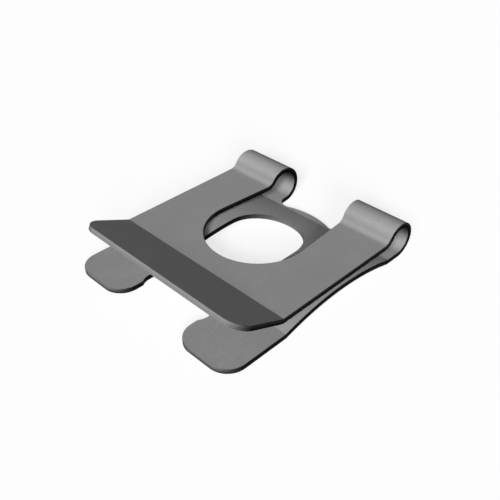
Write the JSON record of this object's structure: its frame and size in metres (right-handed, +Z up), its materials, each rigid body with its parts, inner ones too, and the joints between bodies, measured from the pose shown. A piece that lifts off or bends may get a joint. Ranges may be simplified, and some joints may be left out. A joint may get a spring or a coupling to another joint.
{
  "type": "retaining clip",
  "caption": "Sheet-metal clip that slides into a clevis pin's groove: a plate with a pin window and upturned lip, rolled over at the rear into an arched, slotted leaf.",
  "frame": {"origin": "on the pin's axis, at the upper plate's top face", "axes": "+Z up along the pin, out of the upper plate; +Y towards the rolled loops; X across the clip"},
  "size_m": [0.02, 0.0239, 0.0046],
  "materials": {
    "spring_steel": "matt grey phosphated spring strip, deburred, with darker cut edges"
  },
  "bodies": {
    "root": {"clip": "spring_steel"}
  },
  "joints": []
}
